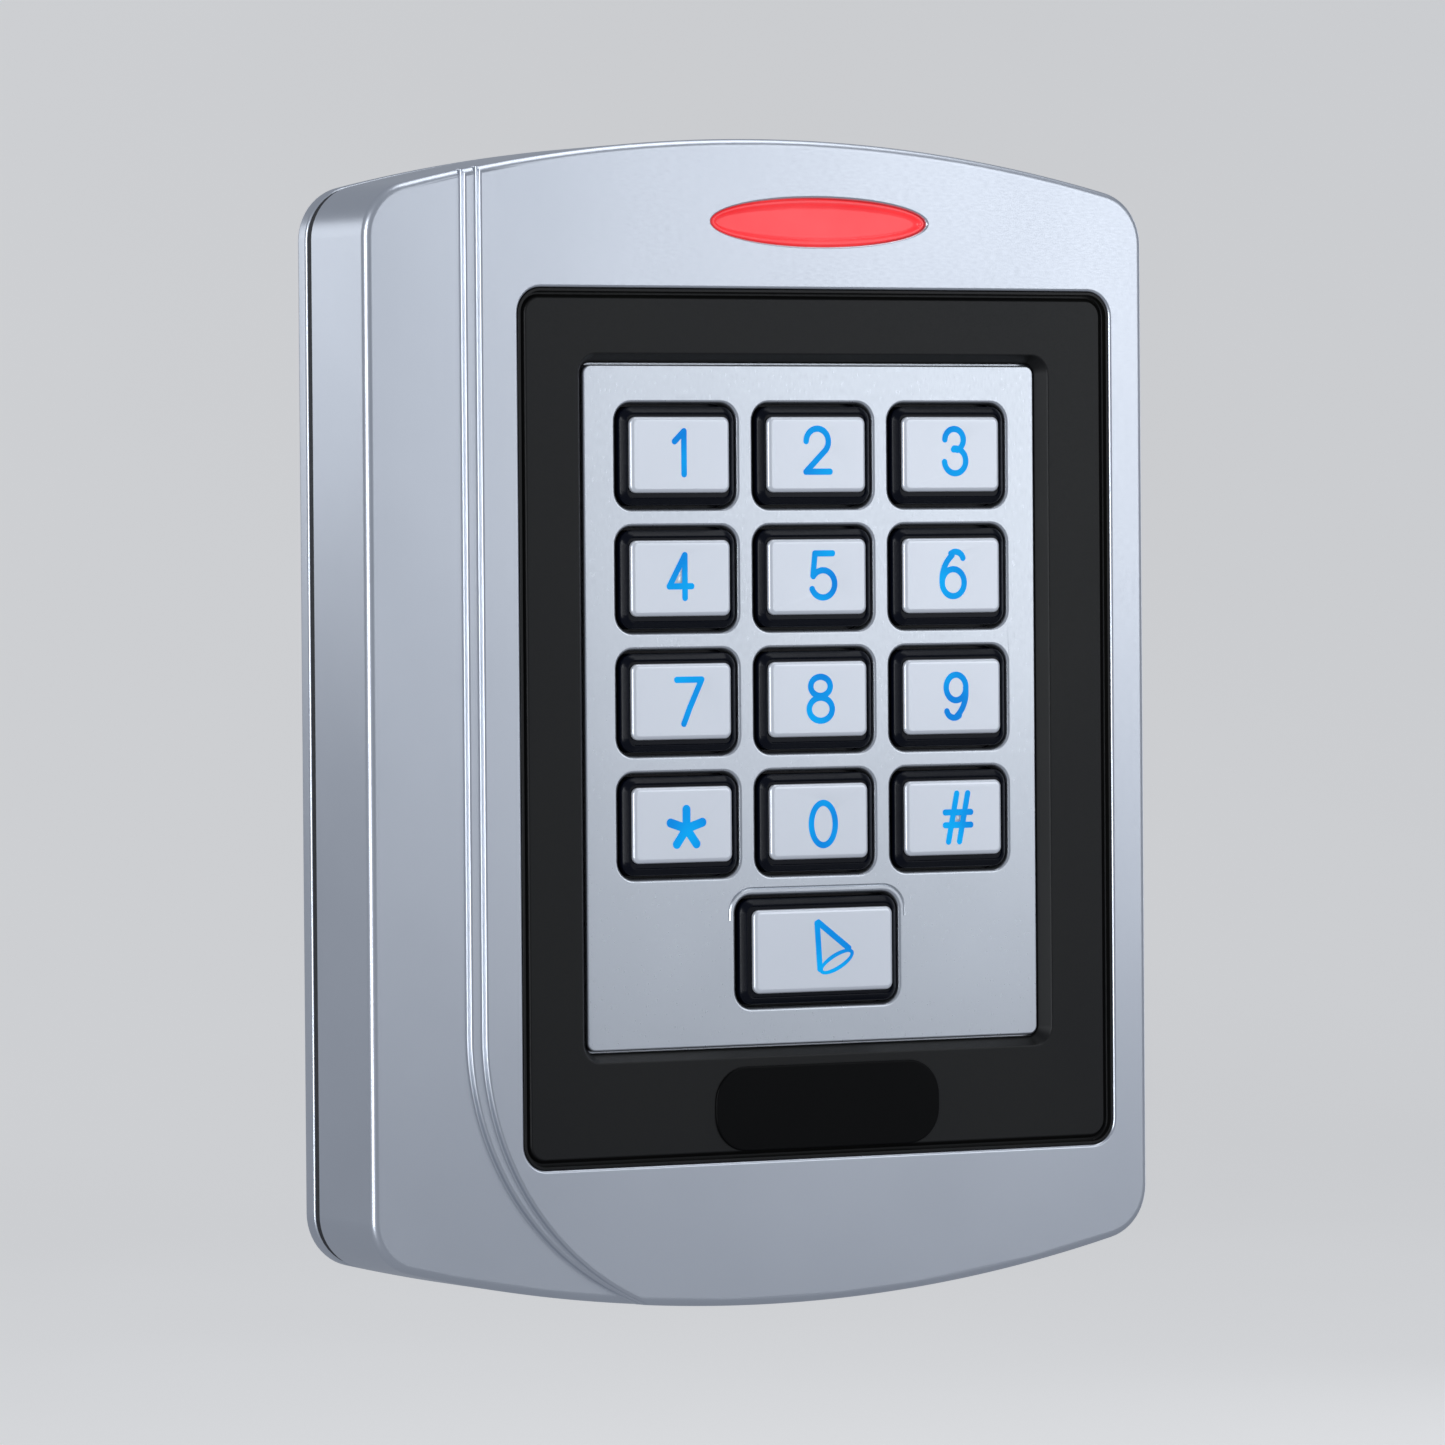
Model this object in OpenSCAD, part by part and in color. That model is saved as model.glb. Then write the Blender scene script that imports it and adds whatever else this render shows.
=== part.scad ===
// Keypad access reader: surface-mounted metal door-entry keypad with a card-reading coil.
// Millimetres, +Z up, +X to the right of somebody facing the keys, the face looks toward -Y.
// Origin: centre of the back face, on the wall.
// Every piece is drawn lying on its back (x right, y up, z out of the wall) and stood up by stand().

/* [Case] */
// Overall width of the case
case_w = 98; // [80:0.5:120]
// Overall height at the middle of the arched ends
case_h = 128; // [110:0.5:150]
// Overall depth from the wall to the face
case_d = 18; // [17:0.5:20]
// Radius of the arched top and bottom ends
arch_r = 188; // [140:1:260]
// Radius of the four outline corners
corner_r = 6; // [4:0.5:9]
// Rounding along the front edge
edge_r = 0.9; // [0.6:0.1:2]
// Rounding along the rear edge of the back plate
back_r = 1.6; // [0.8:0.1:2]
// Wall thickness of the die-cast housing
wall = 2.6; // [2:0.1:3.2]
// Thickness of the back plate
plate_t = 3; // [2.5:0.1:3.5]
// Thickness of the gasket showing as a dark seam
gasket_t = 1; // [0.8:0.1:1.2]
// How far the gasket sits inside the outline
seam_in = 0.2; // [0.1:0.1:1.4]
// Height of each of the two small steps beside the left wing
step_h = 0.7; // [0.4:0.1:0.9]

/* [Front] */
// Centre of the keypad group, right of the case centre
front_x = 6.7; // [6.5:0.1:6.7]
// Black bezel width
bezel_w = 75.5; // [72:0.1:75.5]
// Black bezel height
bezel_h = 95.6; // [92:0.1:95.8]
// Width of the visible silver keypad plate
plate_w = 57.7; // [57:0.1:60]
// Height of the visible silver keypad plate
plate_h = 74.8; // [74:0.1:76]
// Length of the oval status lens
lens_w = 27.3; // [20:0.1:32]
// Height of the oval status lens
lens_h = 5.1; // [4:0.1:5.6]

/* [Keys] */
// Distance between key columns
pitch_x = 17.34; // [17.2:0.01:17.6]
// Distance between key rows
pitch_y = 13.47; // [13.2:0.01:13.6]
// Key travel toward the wall
travel = 1; // [0.5:0.1:1]
// Clearance between a key and its opening
key_gap = 0.3; // [0.2:0.05:0.4]
// Stroke width of the key legends
stroke = 0.7; // [0.6:0.05:0.8]

/* [Wall fixing] */
// Wall screw holes, side to side
hole_dx = 60; // [50:1:64]
// Wall screw holes, up and down
hole_dy = 84; // [70:1:90]
// Radius of a wall screw hole
hole_r = 2.25; // [1.8:0.05:2.5]
// Radius of the cable hole in the back plate
cable_r = 7; // [5:0.5:8]

/* [Hidden] */
$fn = 96;
eps = 0.01;
hair = 0.002;                       // keeps arcs from meeting straight sides exactly tangent
key_top = 29.28;                    // top key row
bell_x = front_x + 0.15;
bell_y = -25.22;
plate_x = front_x - 0.14;           // middle of the keypad plate
plate_y = 1.86;
bezel_y = -0.27;
lens_x = front_x + 0.18;
lens_y = 54.9;
seat = plate_t + gasket_t;          // housing rim
wing_z = case_d - 2 * step_h;       // left wing surface
face_in = case_d - 2;               // inside of the front wall
bezel_z = case_d - 0.4;             // bezel front
lip_z = case_d - 0.12;              // thin lip along the outer edge of the bezel
groove_z = case_d - 0.9;            // bottom of the groove inside the lip
plate_z = case_d - 1.6;             // keypad plate front
flange_z = plate_z - 1.3;           // front of the keypad plate flange, back of the bezel
plate_back = flange_z - 0.8;
cap_z = plate_z + 1;                // key top
cap_t = 0.55;
board_z = case_d - 9.2;             // back of the circuit board
board_top = board_z + 1.6;
foot_z = plate_back - 1.4;          // underside of the key plungers
arch_y = case_h / 2 - arch_r;       // centre of the top arch
boss_x = 40;
boss_y = 52.6;
cable_y = -25;

steel = [0.72, 0.74, 0.78];
silver = [0.82, 0.84, 0.88];
black = [0.11, 0.11, 0.11];
rubber = [0.16, 0.17, 0.2];
blue = [0.05, 0.5, 0.95];
red = [0.95, 0.15, 0.15];
green = [0.1, 0.35, 0.2];
copper = [0.72, 0.42, 0.2];

// ---------------------------------------------------------------- helpers

module stand(c) color(c) rotate([90, 0, 0]) children();

module slab(z0, z1) translate([0, 0, z0]) linear_extrude(z1 - z0) children();

module box(x0, x1, y0, y1, z0, z1) translate([x0, y0, z0]) cube([x1 - x0, y1 - y0, z1 - z0]);

module rod(x, y, r, z0, z1) translate([x, y, z0]) cylinder(r = r, h = z1 - z0);

module rrect(w, h, r) {
    square([w, h - 2 * r], center = true);
    square([w - 2 * r, h], center = true);
    for (sx = [-1, 1], sy = [-1, 1]) translate([sx * (w / 2 - r), sy * (h / 2 - r)]) circle(r);
}

// rounded block whose outline grows by g on every side between z0 and z1
module taper(w, h, r, g, z0, z1) {
    cx = w / 2 - r;
    cy = h / 2 - r;
    translate([0, cy, 0]) rotate([90, 0, 0]) linear_extrude(2 * cy)
        polygon([[-w / 2, z0], [w / 2, z0], [w / 2 + g, z1], [-w / 2 - g, z1]]);
    translate([-cx, 0, 0]) rotate([90, 0, 90]) linear_extrude(2 * cx)
        polygon([[-h / 2, z0], [h / 2, z0], [h / 2 + g, z1], [-h / 2 - g, z1]]);
    for (sx = [-1, 1], sy = [-1, 1])
        translate([sx * cx, sy * cy, z0]) cylinder(r1 = r, r2 = r + g, h = z1 - z0);
}

// case outline, moved in by d
module outline(d = 0) {
    a = arch_r - d;
    c = corner_r - d;
    x = case_w / 2 - d;
    cx = x - c;
    cy = arch_y + sqrt((a - c) * (a - c) - cx * cx);
    tx = cx * a / (a - c);
    intersection() {
        translate([0, arch_y]) circle(a, $fn = 360);
        translate([0, -arch_y]) circle(a, $fn = 360);
        square([2 * tx, case_h], center = true);
    }
    square([2 * x, 2 * cy], center = true);
    for (sx = [-1, 1], sy = [-1, 1]) translate([sx * cx, sy * cy]) circle(c);
}

// slice of the case outline between z0 and z1, moved in by d0 at z0 and d1 at z1
module layer(z0, z1, d0, d1) {
    cx = case_w / 2 - corner_r;
    cy = arch_y + sqrt((arch_r - corner_r) * (arch_r - corner_r) - cx * cx);
    w = case_w / 2;
    intersection() {
        translate([0, arch_y, z0])
            cylinder(r1 = arch_r - d0, r2 = arch_r - d1, h = z1 - z0, $fn = 360);
        translate([0, -arch_y, z0])
            cylinder(r1 = arch_r - d0, r2 = arch_r - d1, h = z1 - z0, $fn = 360);
        box(-cx, cx, -case_h / 2, case_h / 2, z0, z1);
    }
    for (sx = [-1, 1], sy = [-1, 1]) translate([sx * cx, sy * cy, z0])
        cylinder(r1 = corner_r - d0, r2 = corner_r - d1, h = z1 - z0);
    translate([0, cy, 0]) rotate([90, 0, 0]) linear_extrude(2 * cy)
        polygon([[-w + d0, z0], [w - d0, z0], [w - d1, z1], [-w + d1, z1]]);
}

// case outline from z0 to z1 with its upper edge eased over r by three narrow flats
module eased(z0, z1, r) {
    slab(z0, z1 - r) outline();
    layer(z1 - r, z1 - 0.5 * r, 0, 0.134 * r);
    layer(z1 - 0.5 * r, z1 - 0.134 * r, 0.134 * r, 0.5 * r);
    layer(z1 - 0.134 * r, z1, 0.5 * r, r);
}

module oval(w, h) polygon([for (t = [0:5:355]) [w / 2 * cos(t), h / 2 * sin(t)]]);

// area right of the line that runs down the left side and sweeps to the bottom
module swept(x, y, r) {
    translate([x, y]) square([100, 110]);
    translate([x + r, -80]) square([80, 100]);
    translate([x + r, y]) circle(r, $fn = 200);
}

module face_area() swept(-35.7, -33.6, 31.9);
module ledge_area() swept(-37.2, -33.3, 31.7);

// ---------------------------------------------------------------- case

module back_plate() stand(steel) {
    difference() {
        union() {
            // rear edge eased by three narrow flats, front edge by one
            layer(0, 0.134 * back_r, back_r, 0.5 * back_r);
            layer(0.134 * back_r, 0.5 * back_r, 0.5 * back_r, 0.134 * back_r);
            layer(0.5 * back_r, back_r, 0.134 * back_r, 0);
            slab(back_r, plate_t - 0.4) outline();
            layer(plate_t - 0.4, plate_t, 0, 0.4);
            // lug for the cover screw
            box(-6, 6, -59.4, -53.4, 2, 11.8);
            // two hooks that hold the top of the housing
            for (s = [-1, 1]) translate([s * 23, 0, 0]) {
                box(-3, 3, 56.6, 58.2, 2, 8);
                box(-3, 3, 58.2 - eps, 59.1, 6.4, 8);
            }
        }
        difference() {
            slab(2, plate_t + 1) outline(4);
            box(-6, 6, -59.4, -53.4, 1, 12);
            for (s = [-1, 1]) translate([s * 23, 0, 0]) box(-3, 3, 56.6, 58.2, 1, 12);
        }
        for (sx = [-1, 1], sy = [-1, 1]) translate([sx * hole_dx / 2, sy * hole_dy / 2, 0]) {
            rod(0, 0, hole_r, -1, 3);
            translate([0, 0, 0.6]) cylinder(r1 = hole_r, r2 = hole_r + 2, h = 1.4);
        }
        rod(0, cable_y, cable_r, -1, 4);
        // light window for the tamper sensor
        rod(-28, 22, 2.5, -1, 4);
        // thread for the cover screw
        translate([0, -53, 8]) rotate([90, 0, 0]) cylinder(r = 1.55, h = 8);
    }
}

module cable_grommet() stand(rubber) difference() {
    union() {
        rod(0, cable_y, cable_r, 0.2, 2);
        rod(0, cable_y, cable_r + 2, 2, 3.2);
    }
    rod(0, cable_y, 4.5, -1, 5);
}

module rear_gasket() stand(rubber) slab(plate_t, seat) difference() {
    outline(seam_in);
    outline(seam_in + 2.4);
}

module housing() stand(steel) difference() {
    union() {
        difference() {
            union() {
                eased(seat, wing_z, edge_r);
                intersection() {
                    eased(wing_z - edge_r, wing_z + step_h, edge_r);
                    slab(seat, case_d) ledge_area();
                }
                intersection() {
                    eased(wing_z - edge_r, case_d, edge_r);
                    slab(seat, case_d + 1) face_area();
                }
            }
            // hollow
            slab(seat - 1, face_in) intersection() {
                outline(wall);
                translate([-32.8, -80]) square([100, 160]);
            }
            slab(seat - 1, wing_z - 2.2) outline(wall);
        }
        // bosses that carry the circuit board
        for (sx = [-1, 1], sy = [-1, 1]) rod(sx * boss_x, sy * boss_y, 2.5, board_top, wing_z - 2);
        for (sy = [-1, 1]) rod(boss_x, sy * boss_y, 2.5, wing_z - 3, face_in + 0.5);
        // pad behind the cover screw
        slab(seat, 12) intersection() {
            outline(1);
            translate([-6, -63]) square([12, 3.2]);
        }
        // ledges caught by the hooks of the back plate
        slab(seat, 6.1) intersection() {
            outline(1);
            for (s = [-1, 1]) translate([s * 23, 60.5]) square([10, 4], center = true);
        }
    }
    // bezel opening with a fine bright edge
    translate([front_x, bezel_y, 0]) {
        slab(face_in - 1, case_d + 1) rrect(bezel_w, bezel_h, 2.8);
        taper(bezel_w, bezel_h, 2.8, 0.3, case_d - 0.25, case_d + 0.05);
    }
    // lens opening
    translate([lens_x, lens_y, 0]) {
        slab(face_in - 1, case_d + 1) oval(lens_w + 0.2, lens_h + 0.2);
        slab(case_d - 0.2, case_d + 1) oval(lens_w + 0.6, lens_h + 0.6);
    }
    // board screw holes
    for (sx = [-1, 1], sy = [-1, 1]) rod(sx * boss_x, sy * boss_y, 1.3, board_top - 1, board_top + 3.7);
    // cover screw hole
    translate([0, -58, 8]) rotate([90, 0, 0]) cylinder(r = 1.7, h = 8);
    translate([0, -61.8, 8]) rotate([90, 0, 0]) cylinder(r = 3, h = 5);
}

module cover_screw() stand(steel) translate([0, -61.8, 8]) rotate([90, 0, 0]) difference() {
    union() {
        cylinder(r = 2.7, h = 1.6);
        translate([0, 0, -6.8]) cylinder(r = 1.5, h = 7);
    }
    translate([0, 0, 0.6]) cylinder(r = 1.3, h = 2, $fn = 6);
}

// ---------------------------------------------------------------- front

module bezel_frame() stand(black) difference() {
    translate([front_x, bezel_y, 0]) {
        slab(flange_z, face_in - 0.05) rrect(bezel_w + 3.4, bezel_h + 3.5, 4);
        slab(face_in - 0.1, groove_z) rrect(bezel_w - 0.1, bezel_h - 0.1, 2.75);
        slab(groove_z - eps, lip_z) difference() {
            rrect(bezel_w - 0.1, bezel_h - 0.1, 2.75);
            rrect(bezel_w - 0.7, bezel_h - 0.7, 2.45);
        }
        taper(bezel_w - 1.4, bezel_h - 1.4, 2.1, -0.3, groove_z - eps, bezel_z);
    }
    translate([plate_x, plate_y, 0]) {
        slab(flange_z - 1, case_d) rrect(plate_w + 0.4, plate_h + 0.4, 1.2);
        taper(plate_w + 1.4, plate_h + 1.4, 1.6, 0.85, plate_z - 0.4, bezel_z + 0.1);
    }
}

module nameplate() stand(black) translate([front_x + 0.6, -42.35, 0]) {
    slab(bezel_z, bezel_z + 0.1) rrect(28.6, 9.3, 3.9);
    taper(28.6, 9.3, 3.9, -0.15, bezel_z + 0.1, bezel_z + 0.25);
}

module keypad_plate() stand(silver) difference() {
    translate([plate_x, plate_y, 0]) {
        slab(plate_back, flange_z) rrect(plate_w + 7, plate_h + 7.4, 2);
        slab(flange_z - eps, plate_z - 0.25) rrect(plate_w, plate_h, 1);
        taper(plate_w, plate_h, 1, -0.25, plate_z - 0.25, plate_z);
    }
    for (k = [0:12]) at_key(k) {
        slab(plate_back - 1, plate_z + 1) rrect(hole_w(k), hole_h(k), 1.8);
        taper(hole_w(k), hole_h(k), 1.8, 0.35, plate_z - 0.3, plate_z + 0.05);
    }
}

// dished window
module status_lens() stand(red) translate([lens_x, lens_y, 0]) difference() {
    union() {
        slab(face_in - 0.8, face_in) oval(lens_w + 3.4, lens_h + 3);
        slab(face_in - eps, case_d - 0.3) oval(lens_w, lens_h);
    }
    slab(case_d - 0.9, case_d) oval(lens_w - 1, lens_h - 1);
}

// ---------------------------------------------------------------- electronics

module antenna_coil() stand(copper) translate([front_x, bezel_y, 0])
    slab(flange_z - 2.9, flange_z) difference() {
        rrect(74, 94, 6);
        rrect(69, 89, 3.5);
    }

module main_board() stand(green) slab(board_z, board_top) difference() {
    rrect(88, 110.4, 3);
    translate([-8, -60]) square([16, 7.6]);
    for (sx = [-1, 1], sy = [-1, 1]) translate([sx * boss_x, sy * boss_y]) circle(1.6);
}

module board_screws() stand(steel)
    for (sx = [-1, 1], sy = [-1, 1]) translate([sx * boss_x, sy * boss_y, 0]) difference() {
        union() {
            rod(0, 0, 2.3, board_z - 1.4, board_z);
            rod(0, 0, 1.25, board_z - eps, board_top + 3.5);
        }
        box(-0.25, 0.25, -1.5, 1.5, board_z - 2, board_z - 0.7);
        box(-1.5, 1.5, -0.25, 0.25, board_z - 2, board_z - 0.7);
    }

module key_mat() stand(rubber) {
    difference() {
        union() {
            translate([front_x, plate_y - 0.5, 0]) slab(board_top, board_top + 0.8) rrect(58, 76, 2);
            for (k = [0:12]) at_key(k) translate([0, 0, board_top + 0.8 - eps])
                cylinder(r1 = 4.2, r2 = 2.9, h = foot_z - board_top - 0.8 + eps);
        }
        for (k = [0:12]) at_key(k) translate([0, 0, board_top - eps])
            cylinder(r1 = 3.6, r2 = 2.3, h = foot_z - board_top - 0.6 + eps);
        leds() square([3.2, 2.4], center = true);
    }
    // conductive pills that close the contacts
    for (k = [0:12]) at_key(k) rod(0, 0, 1.6, board_top + travel + 0.05, foot_z - 0.3);
}

module leds() for (x = [-0.5, 0.5], k = [0:4])
    translate([front_x + x * pitch_x, key_top - k * pitch_y, 0])
        translate([0, 0, board_top - 1]) linear_extrude(4) children();

module backlight_leds() stand([0.95, 0.93, 0.8])
    for (x = [-0.5, 0.5], k = [0:4]) translate([front_x + x * pitch_x, key_top - k * pitch_y, 0])
        box(-0.8, 0.8, -0.4, 0.4, board_top, board_top + 0.6);

module status_leds() stand([0.95, 0.6, 0.55])
    for (x = [-8, 0, 8]) translate([lens_x + x, 53.2, 0]) {
        rod(0, 0, 1.7, board_top, board_top + 0.7);
        rod(0, 0, 1.45, board_top + 0.6, board_top + 3.1);
        translate([0, 0, board_top + 3.1]) sphere(1.45);
    }

module controller_chip() stand(black) translate([-8, 14, 0]) {
    box(-5, 5, -5, 5, board_z - 1.5, board_z - 0.1);
    for (a = [0:90:270]) rotate(a) for (i = [-3.5:1:3.5])
        box(4.9, 6.2, i - 0.2, i + 0.2, board_z - 0.5, board_z);
}

module relay() stand([0.9, 0.9, 0.88]) translate([-24, -14, 0]) {
    taper(14.6, 9.8, 0.6, 0.4, board_z - 5.2, board_z - 4.8);
    slab(board_z - 4.8, board_z) rrect(15.4, 10.6, 1);
}

module buzzer() stand(black) translate([24, 16, 0]) difference() {
    union() {
        rod(0, 0, 6, board_z - 5.2, board_z);
        rod(0, 0, 5.2, board_z - 5.5, board_z - 5);
    }
    rod(0, 0, 0.9, board_z - 6, board_z - 3.5);
}

module capacitors() stand([0.75, 0.76, 0.78]) for (y = [-10, -19]) {
    rod(22, y, 3.15, board_z - 5.3, board_z - 0.5);
    translate([22, y, 0]) slab(board_z - 0.6, board_z) rrect(6.6, 6.6, 0.6);
}

module wire_header() stand([0.93, 0.93, 0.9]) translate([0, -44, 0]) difference() {
    box(-13, 13, -3.2, 3.2, board_z - 5.4, board_z);
    box(-12.2, 12.2, -2.4, 2.4, board_z - 6, board_z - 1.2);
}

module tamper_sensor() stand([0.8, 0.45, 0.25]) difference() {
    rod(-28, 22, 2.5, board_z - 2.2, board_z);
    for (i = [-1:1]) box(-29.6, -26.4, 22 + i - 0.15, 22 + i + 0.15, board_z - 3, board_z - 2);
}

// ---------------------------------------------------------------- keys

COL = [-1, 0, 1, -1, 0, 1, -1, 0, 1, -1, 0, 1, 0];
ROW = [0, 0, 0, 1, 1, 1, 2, 2, 2, 3, 3, 3, 4];

function is_bell(k) = k == 12;
function hole_w(k) = is_bell(k) ? 20.7 : 15.1;
function hole_h(k) = is_bell(k) ? 12.24 : 11.4;
function body_w(k) = hole_w(k) - 2 * key_gap;
function body_h(k) = hole_h(k) - 2 * key_gap;
function cap_w(k) = is_bell(k) ? 17.8 : 12.5;
function cap_h(k) = is_bell(k) ? 9.2 : 8.3;

module at_key(k) translate([is_bell(k) ? bell_x : front_x + COL[k] * pitch_x,
    is_bell(k) ? bell_y : key_top - ROW[k] * pitch_y, 0]) children();

// the caps sit a hair off the middle of their openings
module at_cap(k) at_key(k) translate(is_bell(k) ? [0.25, 0] : [0, 0.12]) children();

// black key: flange behind the plate, sloping skirt in front of it, small foot on the dome
module key_body(k) stand(rubber) at_key(k) {
    slab(foot_z, foot_z + 0.4 + eps) rrect(7, 5, 1);
    slab(foot_z + 0.4, plate_back - 0.2) rrect(body_w(k) + 2, is_bell(k) ? 13 : 12.6, 1.6);
    slab(plate_back - 0.3, plate_z - 0.1) rrect(body_w(k), body_h(k), 1.5);
    taper(body_w(k), body_h(k), 1.5, -0.85, plate_z - 0.1, cap_z - cap_t);
}

module keycap(k, g) stand(silver) difference() {
    at_cap(k) {
        slab(cap_z - cap_t, cap_z - 0.25) rrect(cap_w(k), cap_h(k), 0.6);
        taper(cap_w(k), cap_h(k), 0.6, -0.35, cap_z - 0.25, cap_z);
    }
    at_key(k) slab(cap_z - 0.35, cap_z + 1) glyph(g);
}

module legend(k, g) stand(blue) at_key(k) slab(cap_z - 0.35, cap_z) glyph(g);

// rounded stroke from a to b, whose round ends stand proud of its straight sides by a hair
module seg(a, b, w = stroke) {
    d = b - a;
    translate(a) rotate(atan2(d[1], d[0])) translate([0, hair - w / 2]) square([norm(d), w - 2 * hair]);
    translate(a) circle(w / 2);
    translate(b) circle(w / 2);
}

// rounded stroke along a circle from angle a to angle b, at most 300 degrees
module bow(c, r, a, b) {
    m = (a + b) / 2;
    translate(c) {
        intersection() {
            difference() { circle(r + stroke / 2); circle(r - stroke / 2); }
            polygon([[0, 0], 9 * [cos(a), sin(a)], 9 * [cos((a + m) / 2), sin((a + m) / 2)],
                9 * [cos(m), sin(m)], 9 * [cos((b + m) / 2), sin((b + m) / 2)],
                9 * [cos(b), sin(b)]]);
        }
        for (t = [a, b]) translate(r * [cos(t), sin(t)]) circle(stroke / 2 + hair);
    }
}

// ring of constant stroke round an ellipse with half axes a and b
module loop(c, a, b, w = stroke) translate(c) difference() {
    oval(2 * a + w, 2 * b + w);
    oval(2 * a - w, 2 * b - w);
}

module glyph(g) {
    if (g == "1") {
        seg([0.42, -2], [0.42, 2.7]);
        seg([-0.75, 1.6], [0.42, 2.7]);
    }
    if (g == "2") {
        bow([0, 1.55], 1.42, -48, 178);
        seg([0.95, 0.5], [-1.46, -1.77]);
        seg([-1.46, -1.77], [1.6, -1.77]);
    }
    if (g == "3") {
        bow([0.33, 1.72], 1.2, -70, 178);
        bow([0.45, -0.62], 1.38, -175, 95);
        seg([0.25, 0.65], [0.7, 0.65]);
    }
    if (g == "4") {
        seg([0.42, 2.65], [-1.54, -0.76]);
        seg([-1.54, -0.76], [1.25, -0.76]);
        seg([0.42, 2.65], [0.42, -2.03]);
    }
    if (g == "5") {
        seg([-0.4, 2.7], [1.84, 2.7]);
        seg([-0.4, 2.7], [-0.67, 0.25]);
        bow([0.6, -0.66], 1.5, -158, 145);
    }
    if (g == "6") {
        loop([0.09, -0.68], 1.43, 1.5);
        bow([2.2, -0.4], 3.56, 129, 184);
        bow([0.42, 1.75], 1, 18, 127);
    }
    if (g == "7") {
        seg([-0.69, 2.5], [2.42, 2.5]);
        seg([2.42, 2.5], [0.94, -0.5]);
        seg([0.94, -0.5], [0.16, -2.31]);
    }
    if (g == "8") {
        loop([0.18, 1.52], 1.25, 1.05);
        loop([0.2, -1], 1.47, 1.27);
    }
    if (g == "9") {
        loop([0.36, 1.13], 1.28, 1.42);
        bow([-1.92, 0.6], 3.56, -50, 8);
        bow([0.1, -1.25], 0.98, -165, -48);
    }
    if (g == "0") loop([0.42, -0.2], 1.53, 2.33);
    if (g == "*") translate([0.38, -0.3])
        for (t = [90:72:378]) seg([0, 0], 2.1 * [cos(t), sin(t)], stroke + 0.3);
    if (g == "#") {
        for (x = [-0.2, 1.22]) seg([x - 0.55, -2.53], [x + 0.55, 2.8]);
        for (y = [-0.7, 0.72]) seg([-1.15, y], [2.15, y]);
    }
    // door bell seen tilted: cone with an open mouth
    if (g == "bell") {
        seg([-0.62, 2.97], [-0.3, -2.08]);
        seg([-0.45, 3.05], [3.4, 0.12]);
        translate([1.85, -1.33]) rotate(27) loop([0, 0], 2.2, 0.72, 0.45);
    }
}

module key_body_1() key_body(0);
module key_body_2() key_body(1);
module key_body_3() key_body(2);
module key_body_4() key_body(3);
module key_body_5() key_body(4);
module key_body_6() key_body(5);
module key_body_7() key_body(6);
module key_body_8() key_body(7);
module key_body_9() key_body(8);
module key_body_star() key_body(9);
module key_body_0() key_body(10);
module key_body_hash() key_body(11);
module key_body_bell() key_body(12);

module keycap_1() keycap(0, "1");
module keycap_2() keycap(1, "2");
module keycap_3() keycap(2, "3");
module keycap_4() keycap(3, "4");
module keycap_5() keycap(4, "5");
module keycap_6() keycap(5, "6");
module keycap_7() keycap(6, "7");
module keycap_8() keycap(7, "8");
module keycap_9() keycap(8, "9");
module keycap_star() keycap(9, "*");
module keycap_0() keycap(10, "0");
module keycap_hash() keycap(11, "#");
module keycap_bell() keycap(12, "bell");

module legend_1() legend(0, "1");
module legend_2() legend(1, "2");
module legend_3() legend(2, "3");
module legend_4() legend(3, "4");
module legend_5() legend(4, "5");
module legend_6() legend(5, "6");
module legend_7() legend(6, "7");
module legend_8() legend(7, "8");
module legend_9() legend(8, "9");
module legend_star() legend(9, "*");
module legend_0() legend(10, "0");
module legend_hash() legend(11, "#");
module legend_bell() legend(12, "bell");

back_plate();
cable_grommet();
rear_gasket();
housing();
cover_screw();
bezel_frame();
nameplate();
keypad_plate();
status_lens();
antenna_coil();
main_board();
board_screws();
key_mat();
backlight_leds();
status_leds();
controller_chip();
relay();
buzzer();
capacitors();
wire_header();
tamper_sensor();
key_body_1();
key_body_2();
key_body_3();
key_body_4();
key_body_5();
key_body_6();
key_body_7();
key_body_8();
key_body_9();
key_body_star();
key_body_0();
key_body_hash();
key_body_bell();
keycap_1();
keycap_2();
keycap_3();
keycap_4();
keycap_5();
keycap_6();
keycap_7();
keycap_8();
keycap_9();
keycap_star();
keycap_0();
keycap_hash();
keycap_bell();
legend_1();
legend_2();
legend_3();
legend_4();
legend_5();
legend_6();
legend_7();
legend_8();
legend_9();
legend_star();
legend_0();
legend_hash();
legend_bell();
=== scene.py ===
"""Looks of the keypad access reader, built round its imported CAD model.

Metres, +Z up, the keys face -Y and the wall is the plane Y = 0. Shapes are drawn as outlines in X
and Z and stacked along the distance out of the wall, so a ring at distance `out` lies at Y = -out.
"""

import math

import bmesh
import bpy
from mathutils import Matrix, Vector


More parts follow.
